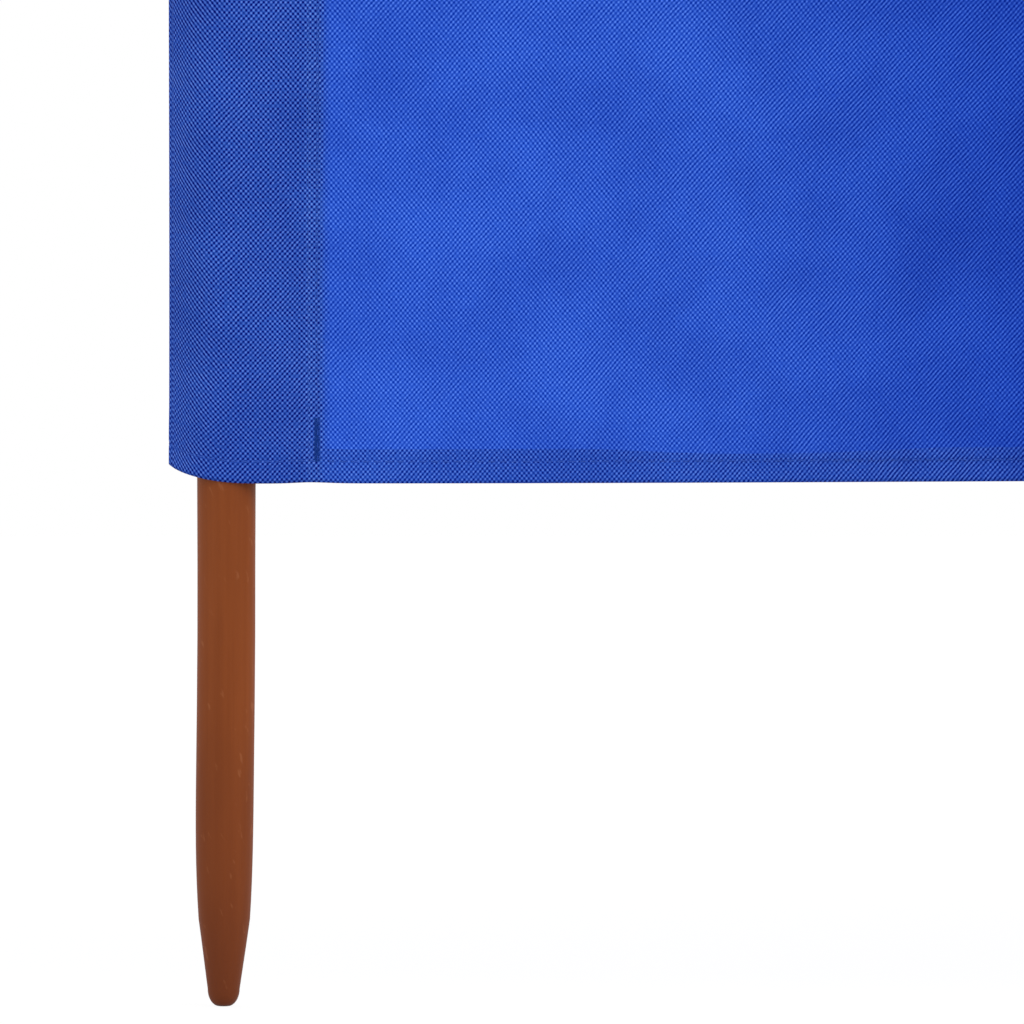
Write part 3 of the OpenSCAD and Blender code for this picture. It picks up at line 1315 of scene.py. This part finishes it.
@dataclass
class Windbreak:
    """The whole windbreak: its stakes, its cloth and its stitching."""

    layout: Layout
    wardrobe: Wardrobe

    def end_section(self, side: int) -> Section:
        """The line of an end sleeve, from its front edge round the fold, or from the back for side 1."""
        edge, fold = self.layout.end_edge / MM, self.layout.end_fold / MM - 0.6
        front = (self.layout.seam_y - self.layout.cloth / 2) / MM
        back = (self.layout.seam_y + self.layout.cloth / 2) / MM
        line = [(edge, front), (edge - 4, front), (edge - 8, front), (30, -10.8), (20, -12.8), (10, -14.3)]
        line += [(2, -15.0), (-6, -14.7), (-12.5, -13.1), (-17.4, -10.3), (-21.7, -6.3), (-25.0, -2.6)]
        line += [(2.0 - fold, -1.1), (0.5 - fold, 0.2), (0.1 - fold, 1.3), (0.6 - fold, 2.6)]
        line += [(2.2 - fold, 4.6), (-21.5, 8.4), (-16, 12.2), (-8, 14.6), (1, 15.0), (10, 13.0)]
        line += [(19, 8.0), (28.5, 0.2), (36, -6.0)]
        line += [(edge - 8, back + 0.1), (edge - 4, back), (edge, back)]
        if side > 0:
            line = [(-x, y) for x, y in reversed(line)]
        return Section([(x * MM, y * MM) for x, y in line])

    def inner_section(self, face: Face) -> Section:
        """The line of an inner sleeve's front cloth, or of the strip behind it."""
        edge = self.layout.inner_edge / MM
        layer = self.layout.seam_y - face.value * self.layout.cloth / 2
        plane = layer / MM
        if face is Face.OUTER:
            half = [(edge, plane), (edge - 4, plane), (edge - 8, plane), (24, -10.9), (12, -13.7)]
            line = [*half, (0, -15.0), *((-x, y) for x, y in reversed(half))]
        else:
            half = [(-edge, plane), (4 - edge, plane), (8 - edge, plane + 0.2), (-25, 0.6), (-15.5, 9.6)]
            half += [(-7.5, 13.9)]
            line = [*half, (0, 15.1), *((-x, y) for x, y in reversed(half))]
        return Section([(x * MM, y * MM) for x, y in line])

    def sheets(self) -> tuple[list[Sheet], list[Sheet]]:
        """Lay out the cloth from the left-hand end to the right-hand end.

        Returns:
            The sheets whose outer side is the front, and the strips behind the inner stakes.
        """
        layout = self.layout
        fronts: list[Sheet] = []
        backs: list[Sheet] = []
        run = 0.0
        for k, x in enumerate(layout.stakes, start=1):
            if k in (1, len(layout.stakes)):
                side = -1 if k == 1 else 1
                name = "left_end_sleeve_cloth" if side < 0 else "right_end_sleeve_cloth"
                section = self.end_section(side)
                starts = 0.0 if side < 0 else run + section.length
                fronts.append(Sleeve(name, layout, starts, stake_x=x, section=section, fold_side=side))
            else:
                section = self.inner_section(Face.OUTER)
                run += section.length
                fronts.append(Sleeve(f"sleeve_{k}_front_cloth", layout, run, stake_x=x, section=section))
                behind = self.inner_section(Face.INNER)
                backs.append(Sleeve(f"sleeve_{k}_back_strip", layout, stake_x=x, section=behind))
            if k <= layout.bays:
                left = x + (layout.end_edge if k == 1 else layout.inner_edge)
                last = k == layout.bays
                right = layout.stakes[k] - (layout.end_edge if last else layout.inner_edge)
                # Strength of the painted shade in each bay, on the left and on the right.
                tone = (1.0, 0.7) if k == 1 else (0.5 + 0.1 * (k % 2), 0.45 + 0.05 * k)
                skew = 1.0 if k == 1 else 0.5 * (-1) ** (k + 1)
                looks = {"seed": 11.0 * k, "tone": tone, "skew": skew}
                bay = Bay(f"bay_{k}_sewn_cloth", layout, left=left, right=right, **looks)
                run += bay.flat_size()[0]
                bay.starts = run
                fronts.append(bay)
        return fronts, backs

    def seam_rows(self, sleeve: Sleeve) -> list[StitchRow]:
        """The rows up both sewn edges of a sleeve."""
        low, high = 1.5 * MM, self.layout.height - 1.5 * MM
        places = [*sleeve.seams, *(sleeve.span - seam for seam in sleeve.seams)]
        return [StitchRow(sleeve, Way.UP, s, low, high) for s in places]

    def tacks(self, sleeve: Sleeve) -> list[StitchRow]:
        """The bar tacks at both ends of each sewn edge."""
        places, height = (sleeve.tack, sleeve.span - sleeve.tack), self.layout.height
        spans = [(9.5 * MM, 31 * MM), (height - 31 * MM, height - 9.5 * MM)]
        shape = {"pitch": 0.6 * MM, "length": 3.7 * MM, "radius": 0.24 * MM, "across": True}
        return [StitchRow(sleeve, Way.UP, s, low, high, **shape) for s in places for low, high in spans]

    def hem_rows(self, sheet: Sheet) -> list[StitchRow]:
        """The rows in the lower and upper hem, outside and inside."""
        line, total = sheet.stitch_height, self.layout.height
        shape = {"pitch": 5.5 * MM, "length": 4.5 * MM}
        rows = []
        for at in (line, total - line):
            rows.append(StitchRow(sheet, Way.ALONG, at, 0.0, sheet.span, **shape))
            if isinstance(sheet, Bay):
                inner = {"face": Face.INNER, "through": sheet.gap}
                rows.append(StitchRow(sheet, Way.ALONG, at, 0.0, sheet.span, **inner, **shape))
        return rows

    def build_bay(self, bay: Bay, k: int) -> None:
        """Make the cloth and the stitches of bay k."""
        nodes = [f"bay_{k}_cloth", f"bay_{k}_bottom_hem", f"bay_{k}_top_hem"]
        bay.build(self.wardrobe, nodes, "stretched", [f"turned_stake_{k}", f"turned_stake_{k + 1}"])
        sew(f"bay_{k}_hem_stitches", self.hem_rows(bay), self.wardrobe.thread)

    def build_sleeve(self, sleeve: Sleeve, node: str, k: int) -> None:
        """Make the cloth, the stitches and the bar tacks of a sleeve round stake k."""
        held = "folded" if sleeve.fold_side else "stretched"
        sleeve.build(self.wardrobe, [node], held, [f"turned_stake_{k}"])
        rows = [*self.seam_rows(sleeve), *self.hem_rows(sleeve)]
        sew(f"{node}_stitches", rows, self.wardrobe.thread)
        sew(f"{node}_bar_tacks", self.tacks(sleeve), self.wardrobe.tack)

    def build(self) -> None:
        """Build every piece in order."""
        ends = {"left": 1, "right": len(self.layout.stakes)}
        for number in range(1, len(self.layout.stakes) + 1):
            Stake(number, self.layout).build(self.wardrobe)
        fronts, backs = self.sheets()
        for sheet in [*fronts, *backs]:
            kind, place, *_ = sheet.name.split("_")
            k = ends.get(kind) or int(place)
            if isinstance(sheet, Bay):
                self.build_bay(sheet, k)
            else:
                self.build_sleeve(sheet, sheet.name.rsplit("_", 1)[0], k)


# ------------------------------------------------------------------------------------------------ studio


@dataclass
class Studio:
    """A pale floor, soft light and the camera.

    Attributes:
        target: The point at the middle of the view.
        width: Width of the view at the target.
        distance: Distance of the camera from it.
        floor: Half the width of the floor.
        ambient: Strength of the light from all round.
        key: Strength of the main light, as the share of white it gives a surface that faces it.
        fill: The same for the light from behind.
    """

    target: Vector
    width: float = 0.4944
    distance: float = 3.2
    floor: float = 60.0
    ambient: float = 0.88
    key: float = 0.25
    fill: float = 0.2

    def sun(self, name: str, azimuth: float, elevation: float, share: float, spread: float) -> None:
        """Add a sun that shines from a direction.

        Args:
            name: The lamp's name.
            azimuth: Degrees round from the front, towards +X.
            elevation: Degrees above the horizon.
            share: Share of white that it gives a surface that faces it.
            spread: Degrees across that it looks, which softens its shadows.
        """
        lamp = bpy.data.lights.new(name, "SUN")
        lamp.energy, lamp.angle = share * math.pi, math.radians(spread)
        holder = show(name, lamp)
        a, e = math.radians(azimuth), math.radians(elevation)
        towards = Vector((math.sin(a) * math.cos(e), -math.cos(a) * math.cos(e), math.sin(e)))
        holder.rotation_euler = towards.to_track_quat("Z", "Y").to_euler()

    def world(self) -> None:
        """Light from all round, white where the camera or a reflection sees it."""
        world = bpy.data.worlds.new("studio")
        bpy.context.scene.world = world
        world.use_nodes = True
        nodes = Nodes(world.node_tree)
        soft = nodes.add("ShaderNodeBackground", {"Color": (1.0, 1.0, 1.0), "Strength": self.ambient})
        white = nodes.add("ShaderNodeBackground", {"Color": (1.0, 1.0, 1.0), "Strength": 1.0})
        both = nodes.blend(self.seen(nodes), soft.outputs[0], white.outputs[0])
        nodes.end(both, "ShaderNodeOutputWorld")

    def seen(self, nodes: Nodes) -> bpy.types.NodeSocket:
        """1 for a ray from the camera, a reflection or a clear material."""
        path = nodes.add("ShaderNodeLightPath")
        direct = nodes.math("ADD", path.outputs["Is Camera Ray"], path.outputs["Is Glossy Ray"])
        return nodes.math("ADD", direct, path.outputs["Is Transmission Ray"], clamp=True)

    def ground(self) -> None:
        """A plain pale floor that keeps a faint shadow and isn't seen from below."""
        made, nodes = new_material("pale_floor")
        pale = nodes.add("ShaderNodeBsdfDiffuse", {"Color": (0.8, 0.8, 0.8)})
        white = nodes.add("ShaderNodeEmission", {"Color": (1.0, 1.0, 1.0), "Strength": 1.03})
        clear = nodes.add("ShaderNodeBsdfTransparent")
        lit = nodes.blend(nodes.math("MULTIPLY", self.seen(nodes), 0.9), pale.outputs[0], white.outputs[0])
        below = nodes.add("ShaderNodeNewGeometry").outputs["Backfacing"]
        nodes.end(nodes.blend(below, lit, clear.outputs[0]))
        bm = bmesh.new()
        bmesh.ops.create_grid(bm, x_segments=1, y_segments=1, size=self.floor)
        show("floor", new_mesh(bm, "floor", made))

    def camera(self) -> None:
        """A long lens, level with the lower part of the left-hand end."""
        lens = bpy.data.cameras.new("camera")
        lens.sensor_width = 36.0
        lens.lens = lens.sensor_width * self.distance / self.width
        lens.clip_start, lens.clip_end = 0.05, 200.0
        holder = show("camera", lens)
        back = Vector((0.0, -1.0, 0.0))
        holder.location = self.target + back * self.distance
        holder.rotation_euler = back.to_track_quat("Z", "Y").to_euler()
        bpy.context.scene.camera = holder

    def build(self) -> None:
        """Set up the studio."""
        bpy.context.scene.view_settings.view_transform = "Standard"
        self.world()
        self.ground()
        self.camera()
        self.sun("key", 58.0, 34.0, self.key, 40.0)
        self.sun("fill", 205.0, 38.0, self.fill, 50.0)


def main() -> None:
    """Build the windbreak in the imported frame."""
    logging.basicConfig(level=logging.INFO, format="%(message)s")
    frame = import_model()
    layout = Layout.from_frame(frame["nodes"])
    LOG.info("layout: %s", layout)
    view = Vector((layout.stakes[0] + 138.1 * MM, 0.0, 238.5 * MM))
    Studio(target=view).build()
    Windbreak(layout, Wardrobe.make()).build()


if __name__ == "__main__":
    main()
